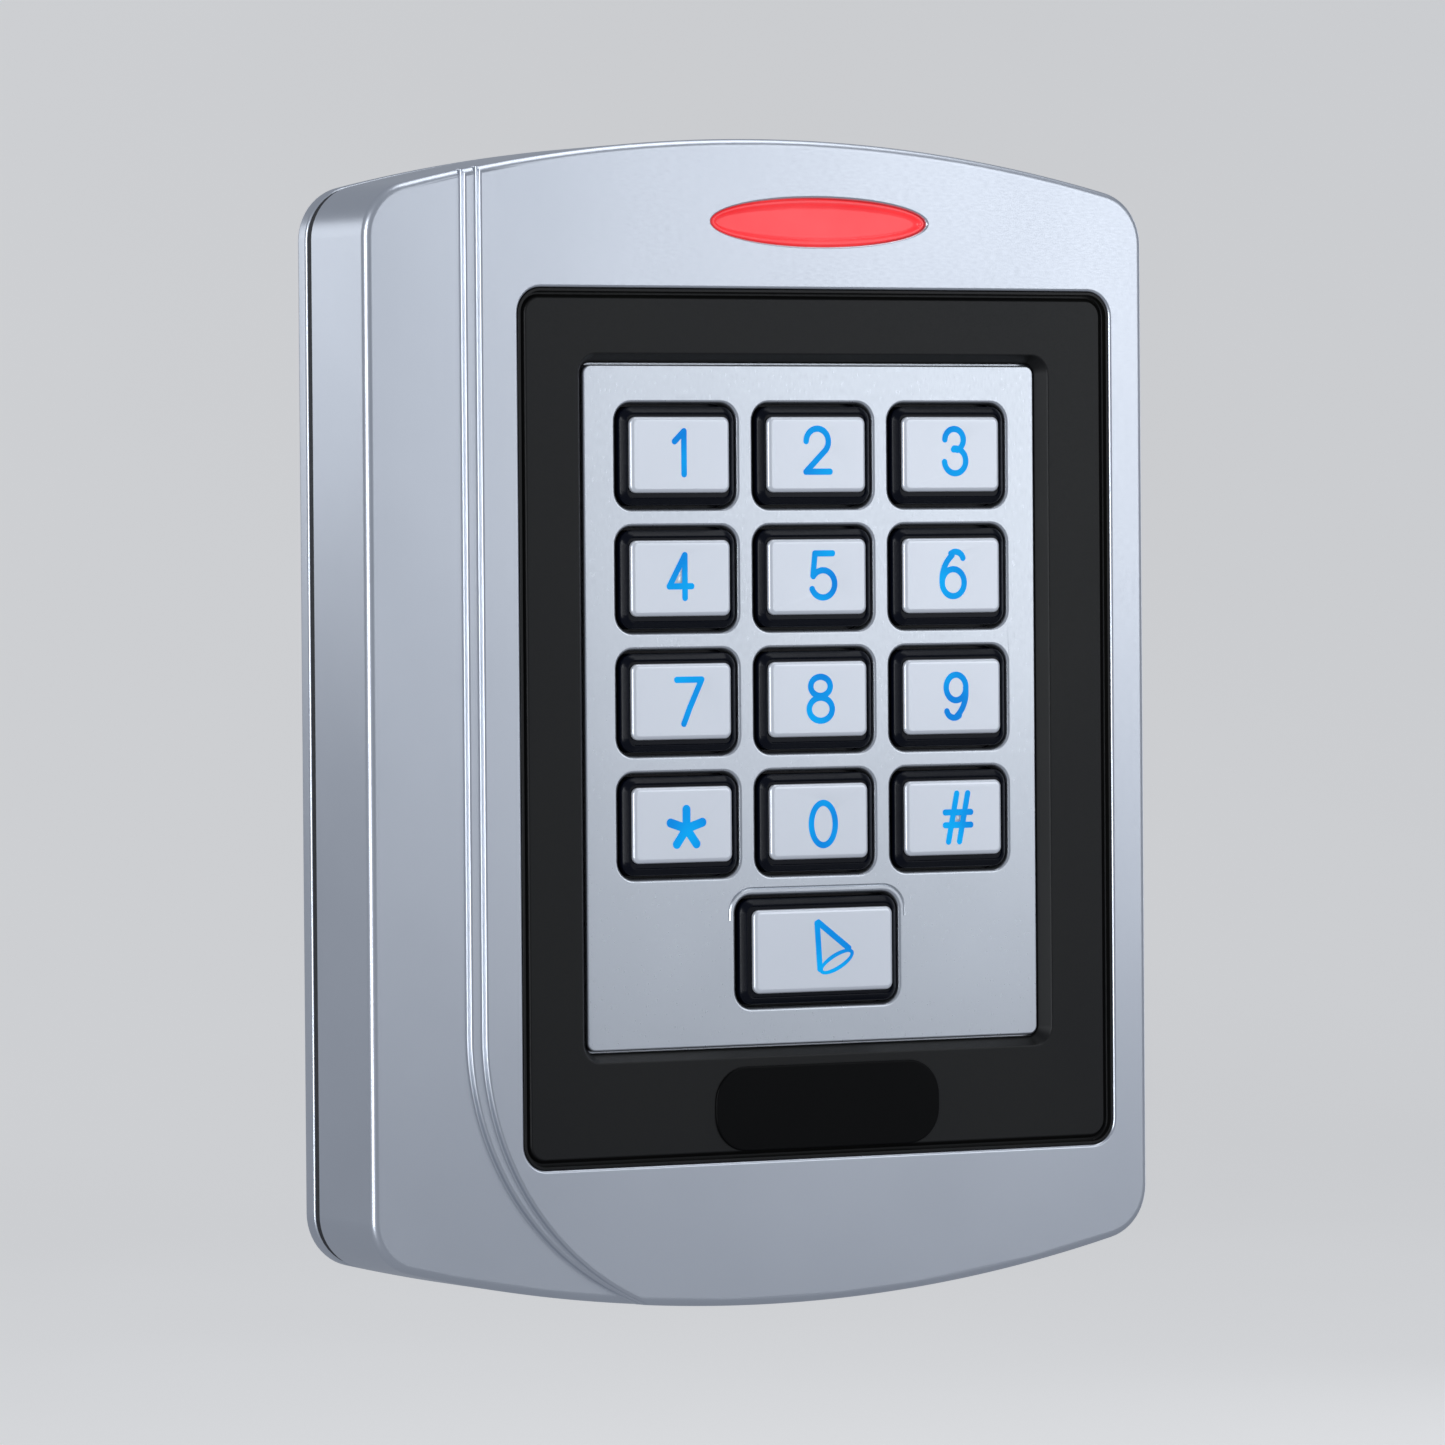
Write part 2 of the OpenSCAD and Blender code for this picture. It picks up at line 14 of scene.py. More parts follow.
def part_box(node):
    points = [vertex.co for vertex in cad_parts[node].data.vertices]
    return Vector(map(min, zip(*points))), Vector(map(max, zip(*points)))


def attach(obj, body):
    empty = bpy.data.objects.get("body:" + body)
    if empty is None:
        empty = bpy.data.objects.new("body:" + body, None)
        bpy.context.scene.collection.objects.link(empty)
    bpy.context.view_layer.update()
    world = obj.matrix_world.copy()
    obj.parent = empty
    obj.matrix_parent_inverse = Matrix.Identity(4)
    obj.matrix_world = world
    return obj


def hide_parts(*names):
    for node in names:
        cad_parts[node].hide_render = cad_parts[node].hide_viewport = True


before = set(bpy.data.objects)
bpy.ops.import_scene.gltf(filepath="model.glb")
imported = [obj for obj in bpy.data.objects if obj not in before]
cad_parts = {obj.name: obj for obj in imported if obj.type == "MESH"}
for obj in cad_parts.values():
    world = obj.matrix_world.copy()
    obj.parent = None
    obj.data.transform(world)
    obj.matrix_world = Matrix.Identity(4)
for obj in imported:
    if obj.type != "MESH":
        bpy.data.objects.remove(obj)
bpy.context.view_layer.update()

MM = 0.001
CASE = "case"
KEYS = ["1", "2", "3", "4", "5", "6", "7", "8", "9", "star", "0", "hash", "bell"]


# ------------------------------------------------------------------ outlines

def arc(cx, cz, r, start, end, steps):
    """Points on a circle from angle start to end, in degrees, both ends included."""
    turn = [math.radians(start + (end - start) * i / steps) for i in range(steps + 1)]
    return [(cx + r * math.cos(t), cz + r * math.sin(t)) for t in turn]


def rounded_rect(cx, cz, w, h, r, steps=8):
    """Outline of a rounded rectangle as a function of how far it is moved in."""
    def at(inset):
        x, z, c = w / 2 - r, h / 2 - r, max(r - inset, 0.02 * MM)
        dx, dz = w / 2 - inset - c, h / 2 - inset - c
        points = []
        for sx, sz, start in ((1, 1, 0), (-1, 1, 90), (-1, -1, 180), (1, -1, 270)):
            points += arc(cx + sx * dx, cz + sz * dz, c, start, start + 90, steps)
        return points
    return at


def circle(cx, cz, r, steps=48):
    return lambda inset: arc(cx, cz, r - inset, 0, 360 * (steps - 1) / steps, steps - 1)


def arched_case(w, h, arch_r, corner_r):
    """The case outline: arched ends, straight sides and round corners."""
    arch_z = h / 2 - arch_r
    cx = w / 2 - corner_r
    cz = arch_z + math.sqrt((arch_r - corner_r) ** 2 - cx ** 2)
    lean = math.degrees(math.atan2(cz - arch_z, cx))

    def at(inset):
        a, c = arch_r - inset, corner_r - inset
        return (
            arc(cx, cz, c, 0, lean, 12)
            + arc(0, arch_z, a, lean, 180 - lean, 64)[1:-1]
            + arc(-cx, cz, c, 180 - lean, 180, 12)
            + arc(-cx, -cz, c, 180, 180 + lean, 12)
            + arc(0, -arch_z, a, 180 + lean, 360 - lean, 64)[1:-1]
            + arc(cx, -cz, c, 360 - lean, 360, 12)
        )
    return at


def oval(cx, cz, w, h, steps=96):
    """Ellipse whose half axes both shrink by the inset."""
    turn = [2 * math.pi * i / steps for i in range(steps)]
    return lambda inset: [(cx + (w / 2 - inset) * math.cos(t), cz + (h / 2 - inset) * math.sin(t))
                          for t in turn]


def swept(x, z, r):
    """Everything right of a line that runs down at x and sweeps away to the right below z."""
    def at(inset):
        return (
            [(x + inset, 80 * MM)]
            + arc(x + r, z, r - inset, 180, 270, 48)
            + [(80 * MM, z - r + inset), (80 * MM, 80 * MM)]
        )
    return at


# ------------------------------------------------------------------ meshes

def new_object(name, mesh):
    obj = bpy.data.objects.new(name, mesh)
    bpy.context.scene.collection.objects.link(obj)
    return obj


def stack(name, outline, profile, ring=False):
    """Mesh of the outline repeated along profile, a list of (inset, out) from back to front."""
    bm = bmesh.new()
    rows = [[bm.verts.new((x, -out, z)) for x, z in outline(inset)] for inset, out in profile]
    n = len(rows[0])
    for low, high in zip(rows, rows[1:] + rows[:1] if ring else rows[1:]):
        for i in range(n):
            j = (i + 1) % n
            bm.faces.new((low[i], low[j], high[j], high[i]))
    if not ring:
        bm.faces.new(list(reversed(rows[0])))
        bm.faces.new(rows[-1])
    bmesh.ops.recalc_face_normals(bm, faces=bm.faces)
    mesh = bpy.data.meshes.new(name)
    bm.to_mesh(mesh)
    bm.free()
    return new_object(name, mesh)


def prism(name, outline, profile):
    """Closed solid with a flat back and front."""
    return stack(name, outline, profile)


def band(name, outline, profile):
    """Closed ring whose section is the loop of profile."""
    return stack(name, outline, profile, ring=True)


def post(name, x, out, r, low, high, steps=40):
    """Round bar along Z."""
    obj = prism(name, circle(x, out, r, steps), [(0, -high), (0, -low)])
    obj.data.transform(Matrix(((1, 0, 0, 0), (0, 0, -1, 0), (0, 1, 0, 0), (0, 0, 0, 1))))
    return obj


def block(name, x0, x1, z0, z1, out0, out1, ease=0.15 * MM):
    """Box with eased edges round its outline and its front."""
    outline = rounded_rect((x0 + x1) / 2, (z0 + z1) / 2, x1 - x0, z1 - z0, 2 * ease, 3)
    return prism(name, outline, [(0, out0)] + rounding(0, out1, ease, 3))


def rounding(inset, out, r, steps=6, depth=None):
    """Profile points of a convex quarter round that ends at (inset + r, out)."""
    deep = depth or r
    turn = [math.radians(90 * i / steps) for i in range(steps + 1)]
    return [(inset + r * (1 - math.cos(t)), out - deep * (1 - math.sin(t))) for t in turn]


def flare(inset, out, r, steps=6):
    """Profile points of a cutter whose mouth opens like a trumpet: it leaves a round edge."""
    turn = [math.radians(84 * i / steps) for i in range(steps + 1)]
    return [(inset - r * (1 - math.cos(t)), out - r * (1 - math.sin(t)) + 0.005 * r) for t in turn]


def combine(target, tool, operation):
    """Boolean of two closed meshes, applied at once."""
    m = target.modifiers.new("combine", "BOOLEAN")
    m.object, m.operation, m.solver = tool, operation, "MANIFOLD"
    ready = target.evaluated_get(bpy.context.evaluated_depsgraph_get())
    mesh = bpy.data.meshes.new_from_object(ready)
    target.modifiers.clear()
    target.data = mesh
    bpy.data.objects.remove(tool)
    return target


def cut(target, tool):
    return combine(target, tool, "DIFFERENCE")


def add(target, tool):
    return combine(target, tool, "UNION")


def overlap(target, tool):
    return combine(target, tool, "INTERSECT")


def welded_copy(node):
    """Closed mesh of a CAD node, whose own faces don't share their corners."""
    bm = bmesh.new()
    bm.from_mesh(node.data)
    bm.transform(node.matrix_world)
    bmesh.ops.remove_doubles(bm, verts=bm.verts, dist=0.0005 * MM)
    mesh = bpy.data.meshes.new("tool")
    bm.to_mesh(mesh)
    bm.free()
    return new_object("tool", mesh)


def smooth(obj, angle=30):
    """Shade smooth, but sharp where faces meet at more than angle, with flat faces kept flat."""
    bm = bmesh.new()
    bm.from_mesh(obj.data)
    bmesh.ops.remove_doubles(bm, verts=bm.verts, dist=0.0005 * MM)
    bmesh.ops.dissolve_limit(bm, angle_limit=math.radians(0.2), verts=bm.verts, edges=bm.edges)
    bm.to_mesh(obj.data)
    bm.free()
    obj.data.shade_smooth()
    obj.data.set_sharp_from_angle(angle=math.radians(angle))
    weighted = obj.modifiers.new("normals", "WEIGHTED_NORMAL")
    weighted.keep_sharp, weighted.weight = True, 100
    return obj


# ------------------------------------------------------------------ materials

def tree(name):
    material = bpy.data.materials.new(name)
    material.use_nodes = True
    return material, material.node_tree.nodes, material.node_tree.links


def grain(nodes, links, scale, stretch=(1, 1, 1), detail=3):
    """Noise in the object's own metres, squeezed along an axis where a surface is brushed."""
    where = nodes.new("ShaderNodeTexCoord")
    mapping = nodes.new("ShaderNodeMapping")
    mapping.inputs["Scale"].default_value = stretch
    noise = nodes.new("ShaderNodeTexNoise")
    noise.inputs["Scale"].default_value = scale
    noise.inputs["Detail"].default_value = detail
    links.new(where.outputs["Object"], mapping.inputs["Vector"])
    links.new(mapping.outputs["Vector"], noise.inputs["Vector"])
    return noise.outputs["Fac"]


def ranged(nodes, links, value, low, high):
    node = nodes.new("ShaderNodeMapRange")
    node.inputs["From Min"].default_value = 0.3
    node.inputs["From Max"].default_value = 0.7
    node.inputs["To Min"].default_value = low
    node.inputs["To Max"].default_value = high
    links.new(value, node.inputs["Value"])
    return node.outputs["Result"]


def blended(nodes, links, value, one, other):
    node = nodes.new("ShaderNodeMix")
    node.data_type = "RGBA"
    node.inputs["A"].default_value = (*one, 1)
    node.inputs["B"].default_value = (*other, 1)
    links.new(ranged(nodes, links, value, 0, 1), node.inputs["Factor"])
    return node.outputs["Result"]


def bumped(nodes, links, value, height):
    node = nodes.new("ShaderNodeBump")
    node.inputs["Distance"].default_value = height
    links.new(value, node.inputs["Height"])
    return node.outputs["Normal"]


def surface(name, one, other, rough, metallic=0.0, mottle=40, fine=4000, stretch=(1, 1, 1),
            height=0.004 * MM, specular=0.5):
    """A finish whose colour drifts between two shades and whose gloss and relief have a fine grain."""
    material, nodes, links = tree(name)
    shader = nodes["Principled BSDF"]
    drift = grain(nodes, links, mottle)
    texture = grain(nodes, links, fine, stretch)
    links.new(blended(nodes, links, drift, one, other), shader.inputs["Base Color"])
    links.new(ranged(nodes, links, texture, *rough), shader.inputs["Roughness"])
    links.new(bumped(nodes, links, texture, height), shader.inputs["Normal"])
    shader.inputs["Metallic"].default_value = metallic
    shader.inputs["Specular IOR Level"].default_value = specular
    return material


def paint(obj, material):
    obj.data.materials.clear()
    obj.data.materials.append(material)
    return obj


SATIN = surface("satin_silver", (0.60, 0.63, 0.68), (0.64, 0.67, 0.72), (0.30, 0.36), metallic=0.92,
                fine=5000, stretch=(0.25, 1, 1), height=0.0015 * MM)
PLATE = surface("keypad_silver", (0.60, 0.63, 0.67), (0.65, 0.68, 0.72), (0.27, 0.34), metallic=0.92,
                fine=5000, stretch=(1, 1, 0.25), height=0.0006 * MM)
CAP = surface("key_silver", (0.84, 0.87, 0.92), (0.88, 0.91, 0.96), (0.32, 0.38), metallic=0.45,
              fine=6000, height=0.001 * MM)
BEZEL = surface("bezel_black", (0.003, 0.003, 0.003), (0.005, 0.005, 0.004), (0.38, 0.48),
                fine=9000, height=0.006 * MM, specular=0.33)
LABEL = surface("label_black", (0.002, 0.002, 0.002), (0.003, 0.003, 0.003), (0.3, 0.36), fine=6000,
                height=0.001 * MM, specular=0.08)
SKIRT = surface("key_rubber", (0.001, 0.002, 0.006), (0.002, 0.003, 0.008), (0.20, 0.28), fine=5000,
                height=0.002 * MM, specular=0.16)
RUBBER = surface("rubber", (0.012, 0.013, 0.016), (0.02, 0.021, 0.024), (0.55, 0.7), fine=3000,
                 height=0.01 * MM)
STEEL = surface("screw_steel", (0.45, 0.45, 0.46), (0.52, 0.52, 0.53), (0.25, 0.4), metallic=1.0,
                fine=3000, height=0.003 * MM)
SILICONE = surface("silicone", (0.30, 0.32, 0.35), (0.34, 0.36, 0.39), (0.5, 0.6))
BOARD = surface("circuit_board", (0.008, 0.06, 0.025), (0.015, 0.10, 0.04), (0.3, 0.4), mottle=900)
COPPER = surface("coil_copper", (0.55, 0.22, 0.08), (0.65, 0.3, 0.12), (0.25, 0.35), metallic=1.0,
                 stretch=(1, 6, 1))
EPOXY = surface("clear_epoxy", (0.7, 0.66, 0.55), (0.78, 0.75, 0.68), (0.1, 0.16), mottle=600)
CHIP = surface("black_component", (0.015, 0.015, 0.016), (0.022, 0.022, 0.022), (0.5, 0.6), fine=9000)
IVORY = surface("white_component", (0.62, 0.62, 0.58), (0.68, 0.68, 0.64), (0.4, 0.5))
CAN = surface("capacitor_can", (0.6, 0.6, 0.61), (0.68, 0.68, 0.69), (0.2, 0.3), metallic=1.0)
SENSOR = surface("sensor_body", (0.45, 0.16, 0.06), (0.6, 0.25, 0.1), (0.35, 0.45), mottle=1200)


def lens_material():
    """Red translucent plastic with a faint moulded ripple, a little lit from behind."""
    material, nodes, links = tree("red_lens")
    shader = nodes["Principled BSDF"]
    drift = grain(nodes, links, 120)
    links.new(blended(nodes, links, drift, (0.86, 0.030, 0.040), (0.94, 0.055, 0.065)),
              shader.inputs["Base Color"])
    links.new(ranged(nodes, links, drift, 0.28, 0.36), shader.inputs["Roughness"])
    links.new(bumped(nodes, links, grain(nodes, links, 900), 0.004 * MM), shader.inputs["Normal"])
    links.new(blended(nodes, links, drift, (1.0, 0.035, 0.04), (1.0, 0.065, 0.07)),
              shader.inputs["Emission Color"])
    shader.inputs["Emission Strength"].default_value = 0.42
    shader.inputs["Coat Weight"].default_value = 0.3
    shader.inputs["Coat Roughness"].default_value = 0.15
    return material


def legend_material():
    """Blue lit window: cyan over the nearest light, deeper blue away from it."""
    material, nodes, links = tree("legend_blue")
    shader = nodes["Principled BSDF"]
    drift = grain(nodes, links, 230, detail=0)
    glow = blended(nodes, links, drift, (0.0, 0.35, 0.78), (0.002, 0.20, 0.62))
    links.new(glow, shader.inputs["Base Color"])
    links.new(glow, shader.inputs["Emission Color"])
    links.new(ranged(nodes, links, drift, 0.3, 0.4), shader.inputs["Roughness"])
    shader.inputs["Emission Strength"].default_value = 0.5
    shader.inputs["Specular IOR Level"].default_value = 0.1
    return material


LENS = lens_material()
LEGEND = legend_material()


# ------------------------------------------------------------------ case

housing_low, housing_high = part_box("housing")
case_w = housing_high.x - housing_low.x
case_h = housing_high.z - housing_low.z
case_d = -housing_low.y
rim_out = -housing_high.y
STEP = 0.7 * MM
EDGE_R = 0.9 * MM
WALL = 2.6 * MM
# distances out of the wall
PLATE_OUT = case_d - 1.6 * MM
BEZEL_OUT = case_d - 0.4 * MM
SEAT_OUT = case_d - 2.05 * MM
SCREW_OUT = 8 * MM
wing_out = case_d - 2 * STEP
case_outline = arched_case(case_w, case_h, 188 * MM, 6 * MM)
face_area = swept(-35.7 * MM, -33.6 * MM, 31.9 * MM)
ledge_area = swept(-37.2 * MM, -33.3 * MM, 31.7 * MM)


def middle(node):
    """X and Z of the middle of a CAD node."""
    low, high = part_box(node)
    return (low.x + high.x) / 2, (low.z + high.z) / 2


def stands_for(obj, node, body, material):
    """The finished piece takes the CAD node's place on its body."""
    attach(obj, body)
    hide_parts(node)
    return paint(obj, material)


bezel_x, bezel_z = middle("bezel_frame")
lens_x, lens_z = middle("status_lens")
plate_x, plate_z = middle("keypad_plate")
BEZEL_W, BEZEL_H, BEZEL_R = 75.5 * MM, 95.6 * MM, 2.8 * MM
PLATE_W, PLATE_H = 57.7 * MM, 74.8 * MM
LENS_W, LENS_H = 27.3 * MM, 5.1 * MM
# fixings, each at plus and minus its X, and the first two at plus and minus their Z
BOSS_X, BOSS_Z = 40 * MM, 52.6 * MM
WALL_SCREW_X, WALL_SCREW_Z = 30 * MM, 42 * MM
HOOK_X = 23 * MM


def level(front, area=None):
    """One level of the case front: the rounded outline, kept only inside area."""
    body = prism("level", case_outline, [(0.3 * MM, rim_out), (0, rim_out + 0.3 * MM)]
                 + rounding(0, front, EDGE_R, 10))
    if area:
        foot = front - STEP
        fillet = 0.2 * MM
        hollow = [(-fillet * (1 - math.sin(t)), foot + fillet * (1 - math.cos(t)) - 0.004 * MM)
                  for t in (math.radians(a) for a in range(0, 91, 18))]
        keep = prism("keep", area, [(-fillet, rim_out - MM)] + hollow
                     + rounding(0, front + 0.001 * MM, 0.35 * MM, 8)
                     + [(0.35 * MM, front + MM)])
        overlap(body, keep)
    return body


def make_housing():
    """Stepped case with its cavity, its two front openings and the fixings inside."""
    obj = level(wing_out)
    add(obj, level(wing_out + STEP, ledge_area))
    add(obj, level(case_d, face_area))
    obj.name = "case_housing"

    cut(obj, prism("cavity", lambda inset: case_outline(WALL + inset),
                   [(0, rim_out - MM), (0, wing_out - 2.2 * MM)]))
    cut(obj, prism("pocket", rounded_rect(bezel_x, bezel_z, 78.95 * MM, 99.2 * MM, 4 * MM),
                   [(0, wing_out - 4 * MM), (0, case_d - 2 * MM)]))
    cut(obj, prism("lens_seat", oval(lens_x, lens_z, 31 * MM, 8.4 * MM),
                   [(0, wing_out - 4 * MM), (0, case_d - 2 * MM)]))
    cut(obj, prism("window", rounded_rect(bezel_x, bezel_z, BEZEL_W, BEZEL_H, BEZEL_R, 10),
                   [(0, wing_out - 5 * MM)] + flare(0, case_d, 0.4 * MM) + [(-0.42 * MM, case_d + MM)]))
    cut(obj, prism("opening", oval(lens_x, lens_z, LENS_W + 0.2 * MM, LENS_H + 0.2 * MM),
                   [(0, wing_out - 5 * MM)] + flare(0, case_d, 0.35 * MM) + [(-0.37 * MM, case_d + MM)]))

    # bosses for the board, catches for the hooks and the pad behind the cover screw
    for x in (-BOSS_X, BOSS_X):
        for z in (-BOSS_Z, BOSS_Z):
            add(obj, prism("boss", circle(x, z, 2.5 * MM), [(0, 10.4 * MM), (0, wing_out - 1.5 * MM)]))
            cut(obj, prism("thread", circle(x, z, 1.3 * MM, 24), [(0, 9 * MM), (0, 14.1 * MM)]))
    for x in (-HOOK_X, HOOK_X):
        add(obj, block("catch", x - 5 * MM, x + 5 * MM, 58.7 * MM, 61.2 * MM, rim_out, 6.1 * MM))
    add(obj, block("pad", -6 * MM, 6 * MM, -62.3 * MM, -59.8 * MM, rim_out, 12 * MM))
    cut(obj, post("screw_hole", 0, SCREW_OUT, 1.7 * MM, -66 * MM, -58 * MM))
    cut(obj, post("counterbore", 0, SCREW_OUT, 3 * MM, -66 * MM, -61.8 * MM))
    return smooth(obj)


stands_for(make_housing(), "housing", CASE, SATIN)


def make_back_plate():
    """Cast plate with a round rear edge, a raised rim, screw holes, hooks and the screw lug."""
    rear_r, front = 1.6 * MM, 3 * MM
    rear = [(rear_r * (1 - math.sin(t)), rear_r * (1 - math.cos(t)))
            for t in (math.radians(a) for a in range(0, 90, 10))]
    obj = prism("wall_plate", case_outline, rear + rounding(0, front, 0.35 * MM, 5))
    cut(obj, prism("tray", lambda inset: case_outline(4 * MM + inset),
                   [(0.3 * MM, 2 * MM), (0, 2.3 * MM), (0, 5 * MM)]))
    for x in (-WALL_SCREW_X, WALL_SCREW_X):
        for z in (-WALL_SCREW_Z, WALL_SCREW_Z):
            cut(obj, prism("screw_hole", circle(x, z, 2.25 * MM),
                           [(-0.25 * MM, -MM), (-0.25 * MM, 0), (0, 0.25 * MM), (0, 0.6 * MM),
                            (-2 * MM, 2.001 * MM), (-2 * MM, 3 * MM)]))
    cable_x, cable_z = middle("cable_grommet")
    cut(obj, prism("cable_hole", circle(cable_x, cable_z, 7.05 * MM, 64),
                   [(-0.3 * MM, -MM), (-0.3 * MM, 0), (0, 0.3 * MM), (0, 4 * MM)]))
    tamper_x, tamper_z = middle("tamper_sensor")
    cut(obj, prism("tamper_window", circle(tamper_x, tamper_z, 2.5 * MM),
                   [(-0.25 * MM, -MM), (-0.25 * MM, 0), (0, 0.25 * MM), (0, 4 * MM)]))
    lug = block("lug", -6 * MM, 6 * MM, -59.4 * MM, -53.4 * MM, 1.5 * MM, 11.8 * MM, 0.3 * MM)
    add(obj, cut(lug, post("lug_bore", 0, SCREW_OUT, 1.55 * MM, -61 * MM, -53 * MM)))
    for x in (-HOOK_X, HOOK_X):
        hook = block("hook", x - 3 * MM, x + 3 * MM, 56.6 * MM, 58.2 * MM, 1.5 * MM, 8 * MM)
        add(hook, block("barb", x - 3 * MM, x + 3 * MM, 57.4 * MM, 59.1 * MM, 6.4 * MM, 7.99 * MM))
        add(obj, hook)
    return smooth(obj)


stands_for(make_back_plate(), "back_plate", CASE, SATIN)


# ------------------------------------------------------------------ front

def make_bezel():
    """Black frame: thin lip and groove round the outside, deep bevel down to the keypad plate."""
    lip_out = case_d - 0.12 * MM
    outline = rounded_rect(bezel_x, bezel_z, BEZEL_W, BEZEL_H, BEZEL_R, 10)
    obj = prism("bezel", outline, [(-1.7 * MM, case_d - 2.9 * MM), (-1.7 * MM, SEAT_OUT),
                                   (0.04 * MM, SEAT_OUT)] + rounding(0.04 * MM, lip_out, 0.12 * MM, 3))
    cut(obj, prism("front", outline, [(0.34 * MM, BEZEL_OUT), (0.34 * MM, case_d + MM)]))
    groove = [(0.34, 0.01), (0.38, -0.4), (0.5, -0.5), (0.7, -0.48), (0.9, -0.3), (1.05, -0.1), (1.25, 0.01)]
    cut(obj, band("groove", outline, [(a * MM, BEZEL_OUT + b * MM) for a, b in groove]))
    hole = rounded_rect(plate_x, plate_z, PLATE_W + 0.4 * MM, PLATE_H + 0.4 * MM, 1.2 * MM, 8)
    bevel = [(-0.85, -0.2), (-0.98, -0.05), (-1.15, 0.001)]
    cut(obj, prism("plate_hole", hole, [(0, case_d - 4 * MM), (0, PLATE_OUT - 0.3 * MM)]
                   + [(a * MM, BEZEL_OUT + b * MM) for a, b in bevel] + [(-1.15 * MM, case_d + MM)]))
    return smooth(obj)


stands_for(make_bezel(), "bezel_frame", CASE, BEZEL)

label_x, label_z = middle("nameplate")
label = prism("label", rounded_rect(label_x, label_z, 28.6 * MM, 9.3 * MM, 3.9 * MM, 12),
              [(0, BEZEL_OUT - 0.05 * MM)] + rounding(0, BEZEL_OUT + 0.25 * MM, 0.2 * MM, 5))
stands_for(smooth(label), "nameplate", CASE, LABEL)


class Key:
    """Sizes of one key, read from its CAD nodes."""
    def __init__(self, name):
        self.name = name
        self.x, self.z = middle("key_body_" + name)
        self.cap_x, self.cap_z = middle("keycap_" + name)
        low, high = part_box("keycap_" + name)
        self.cap_w, self.cap_h = high.x - low.x, high.z - low.z
        self.top = -low.y
        low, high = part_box("key_body_" + name)
        self.w, self.back = high.x - low.x - 2 * MM, -high.y
        self.h = (10.8 if name != "bell" else 11.64) * MM
        self.hole = rounded_rect(self.x, self.z, self.w + 0.6 * MM, self.h + 0.6 * MM, 1.9 * MM, 8)


keys = [Key(name) for name in KEYS]


def make_keypad_plate():
    """Silver plate: every opening has a rounded mouth, and the bell's has a groove above it."""
    flange_out = PLATE_OUT - 1.3 * MM
    outline = rounded_rect(plate_x, plate_z, PLATE_W, PLATE_H, MM, 6)
    obj = prism("plate", outline, [(-3.5 * MM, flange_out - 0.8 * MM), (-3.5 * MM, flange_out),
                                   (0, flange_out)] + rounding(0, PLATE_OUT, 0.25 * MM, 5))
    for key in keys:
        cut(obj, prism("key_hole", key.hole, [(0, flange_out - 2 * MM)] + flare(0, PLATE_OUT, 0.5 * MM, 8)
                       + [(-0.53 * MM, PLATE_OUT + MM)]))
    bell = keys[-1]
    section = [(0.72, -0.1), (0.72, 0.0), (0.85, 0.12), (1.0, 0.0), (1.0, -0.1)]
    brow = band("brow", bell.hole, [(-a * MM, PLATE_OUT - b * MM) for a, b in section])
    side = 14 * MM
    overlap(brow, block("upper", bell.x - side, bell.x + side, bell.z + 3.5 * MM, bell.z + side,
                        PLATE_OUT - MM, PLATE_OUT + MM))
    cut(obj, brow)
    return smooth(obj)


stands_for(make_keypad_plate(), "keypad_plate", CASE, PLATE)


def make_key_body(key):
    """Black key: foot and flange behind the plate, a sloping skirt and a groove round the cap."""
    outline = rounded_rect(key.x, key.z, key.w, key.h, 1.6 * MM, 8)
    flange = PLATE_OUT - 2.3 * MM
    slope = [(0, -0.02), (0.05, 0.1), (0.14, 0.2), (0.62, 0.6), (0.7, 0.63), (0.78, 0.6), (0.86, 0.42)]
    obj = prism("body", outline, [(-0.9 * MM, key.back + 0.4 * MM), (-0.9 * MM, flange), (0, flange)]
                + [(a * MM, PLATE_OUT + b * MM) for a, b in slope])
    foot = prism("foot", rounded_rect(key.x, key.z, 7 * MM, 5 * MM, MM), [(0.15 * MM, key.back),
                 (0, key.back + 0.15 * MM), (0, key.back + 0.6 * MM)])
    add(obj, foot)
    obj.name = "button_" + key.name
    return smooth(obj)


def make_keycap(key):
    """Silver cap with a soft bevel, pocketed for its legend."""
    outline = rounded_rect(key.cap_x, key.cap_z, key.cap_w, key.cap_h, 0.8 * MM, 6)
    obj = prism("cap", outline, [(0.1 * MM, key.top - 1.05 * MM), (0.02 * MM, key.top - 0.6 * MM)]
                + rounding(0, key.top - 0.02 * MM, 0.5 * MM, 7, depth=0.36 * MM))
    cut(obj, welded_copy(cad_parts["legend_" + key.name]))
    obj.name = "cap_" + key.name
    return smooth(obj, 40)


for key in keys:
    stands_for(make_key_body(key), "key_body_" + key.name, "key_" + key.name, SKIRT)
    stands_for(make_keycap(key), "keycap_" + key.name, "key_" + key.name, CAP)
    paint(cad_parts["legend_" + key.name], LEGEND)


def make_lens():
    """Oval window with a round rim and a dished middle."""
    rim = case_d - 0.3 * MM
    outline = oval(lens_x, lens_z, LENS_W, LENS_H)
    dish = [(0.32, 0.0), (0.42, 0.04), (0.52, 0.14), (0.62, 0.36), (0.74, 0.5), (0.95, 0.58), (1.2, 0.6)]
    obj = prism("lens", outline, [(-1.7 * MM, case_d - 2.8 * MM), (-1.7 * MM, SEAT_OUT), (0, SEAT_OUT)]
                + rounding(0, rim, 0.2 * MM, 5)
                + [(a * MM, rim - b * MM) for a, b in dish])
    return smooth(obj, 50)


stands_for(make_lens(), "status_lens", CASE, LENS)


# ------------------------------------------------------------------ pieces kept from the CAD

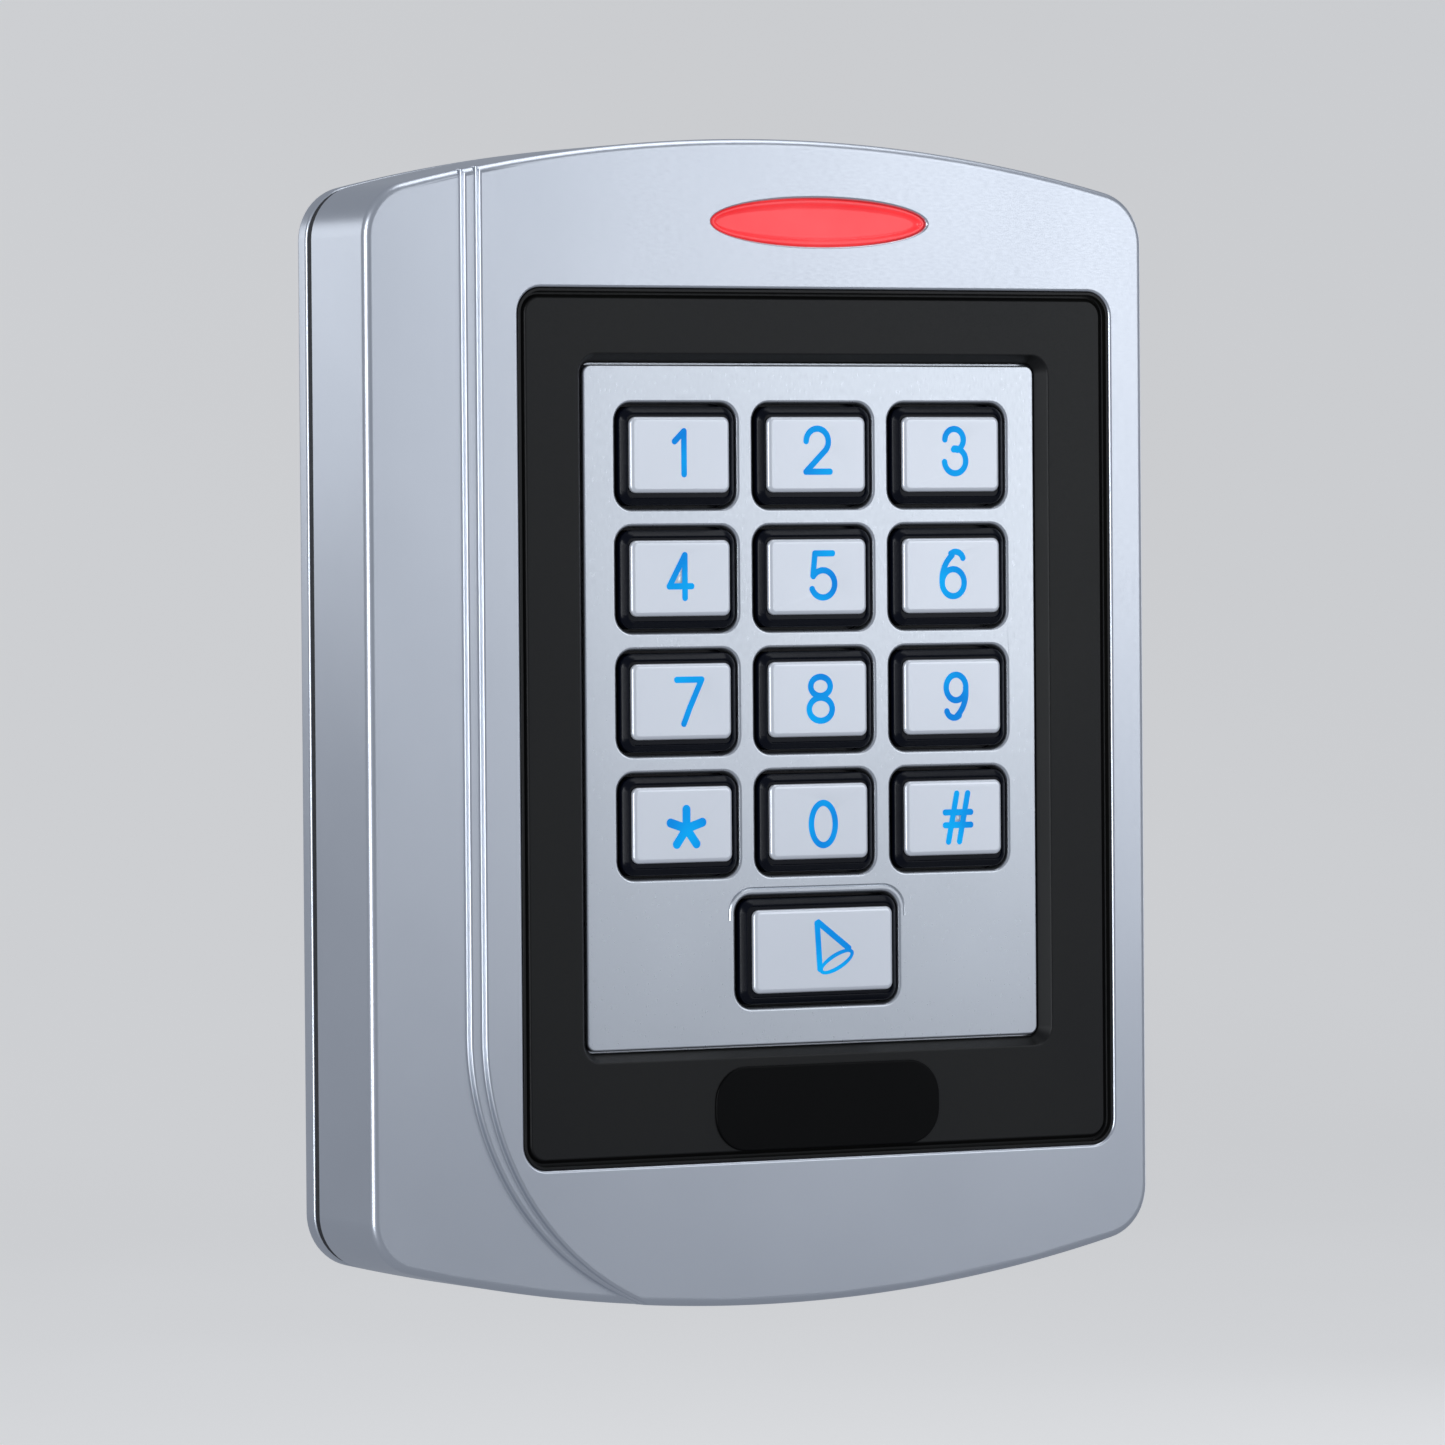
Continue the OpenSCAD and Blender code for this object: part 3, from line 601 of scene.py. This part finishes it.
CARRIED = {
    "cable_grommet": RUBBER, "rear_gasket": RUBBER, "cover_screw": STEEL,
    "antenna_coil": COPPER, "main_board": BOARD, "board_screws": STEEL, "key_mat": SILICONE,
    "backlight_leds": EPOXY, "status_leds": EPOXY, "controller_chip": CHIP, "relay": IVORY,
    "buzzer": CHIP, "capacitors": CAN, "wire_header": IVORY, "tamper_sensor": SENSOR,
}
for node, material in CARRIED.items():
    paint(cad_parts[node], material)


# ------------------------------------------------------------------ stage, light and camera

def make_stage():
    """Pale floor well below the case, curving up into a backdrop far behind it."""
    floor_z, back_y, bend = -0.16, 1.9, 0.7
    path = [(-2.2, floor_z), (back_y - bend, floor_z)]
    path += [(back_y - bend + bend * math.sin(t), floor_z + bend * (1 - math.cos(t)))
             for t in (math.radians(a) for a in range(6, 91, 6))]
    path += [(back_y, floor_z + 3.2)]
    bm = bmesh.new()
    rows = [[bm.verts.new((x, y, z)) for y, z in path] for x in (-4, 4)]
    for i in range(len(path) - 1):
        bm.faces.new((rows[0][i], rows[1][i], rows[1][i + 1], rows[0][i + 1]))
    mesh = bpy.data.meshes.new("floor")
    bm.to_mesh(mesh)
    bm.free()
    mesh.shade_smooth()
    obj = new_object("floor", mesh)
    # the case is lit and mirrored by the studio alone, as if the floor were far away
    obj.visible_glossy = obj.visible_diffuse = obj.visible_shadow = False
    material, nodes, links = tree("pale_floor")
    shader = nodes["Principled BSDF"]
    drift = grain(nodes, links, 3)
    links.new(blended(nodes, links, drift, (0.80, 0.79, 0.77), (0.82, 0.81, 0.79)),
              shader.inputs["Base Color"])
    links.new(blended(nodes, links, drift, (0.93, 0.92, 0.90), (0.95, 0.94, 0.92)),
              shader.inputs["Emission Color"])
    shader.inputs["Emission Strength"].default_value = 0.35
    shader.inputs["Roughness"].default_value = 0.9
    paint(obj, material)
    return obj


def softbox(name, direction, distance, size, power, aim=(0, 0, 0), tint=(0.93, 0.96, 1)):
    """Rectangular light that faces aim from a direction seen from the case."""
    data = bpy.data.lights.new(name, "AREA")
    data.shape, data.size, data.size_y = "RECTANGLE", *size
    data.energy, data.color = power, tint
    obj = new_object(name, data)
    obj.location = Vector(aim) + Vector(direction).normalized() * distance
    obj.rotation_mode = "QUATERNION"
    obj.rotation_quaternion = (Vector(aim) - obj.location).to_track_quat("-Z", "Y")
    return obj


def make_camera():
    """A long lens from the front left, almost level with the case."""
    azimuth, elevation, roll = math.radians(30), math.radians(1.207), math.radians(0.44)
    distance, aim = 0.9841, Vector((0.00331, -0.00191, -0.00029))
    forward = Vector((math.sin(azimuth) * math.cos(elevation), math.cos(azimuth) * math.cos(elevation),
                      -math.sin(elevation)))
    data = bpy.data.cameras.new("camera")
    data.sensor_width, data.lens = 36, 219.8
    data.clip_start, data.clip_end = 0.05, 20
    obj = new_object("camera", data)
    obj.rotation_mode = "QUATERNION"
    obj.location = aim - forward * distance
    level_turn = forward.to_track_quat("-Z", "Y")
    obj.rotation_quaternion = level_turn @ Matrix.Rotation(-roll, 3, "Z").to_quaternion()
    bpy.context.scene.camera = obj


def make_lights():
    """Near softbox on the front right, a strip on the left, one overhead and two dim ones behind."""
    softbox("key_light", (0.58, -0.79, 0.22), 0.55, (0.31, 0.36), 0.54, aim=(0.05, -0.018, 0.022))
    softbox("left_strip", (-0.86, -0.5, 0.10), 0.9, (0.22, 0.6), 3.2)
    softbox("overhead", (0.35, -0.1, 0.95), 1.0, (0.7, 0.5), 2.2)
    softbox("right_rear", (0.86, 0.5, 0.02), 0.9, (0.3, 0.5), 0.5)
    softbox("left_rear", (-0.5, 0.86, 0.16), 0.55, (0.3, 0.2), 0.19, aim=(-0.049, -0.01, 0.03))
    world = bpy.data.worlds.new("studio")
    world.use_nodes = True
    world.node_tree.nodes["Background"].inputs["Color"].default_value = (0.82, 0.88, 1, 1)
    world.node_tree.nodes["Background"].inputs["Strength"].default_value = 0.36
    bpy.context.scene.world = world
    bpy.context.scene.view_settings.view_transform = "Standard"


make_stage()
make_camera()
make_lights()
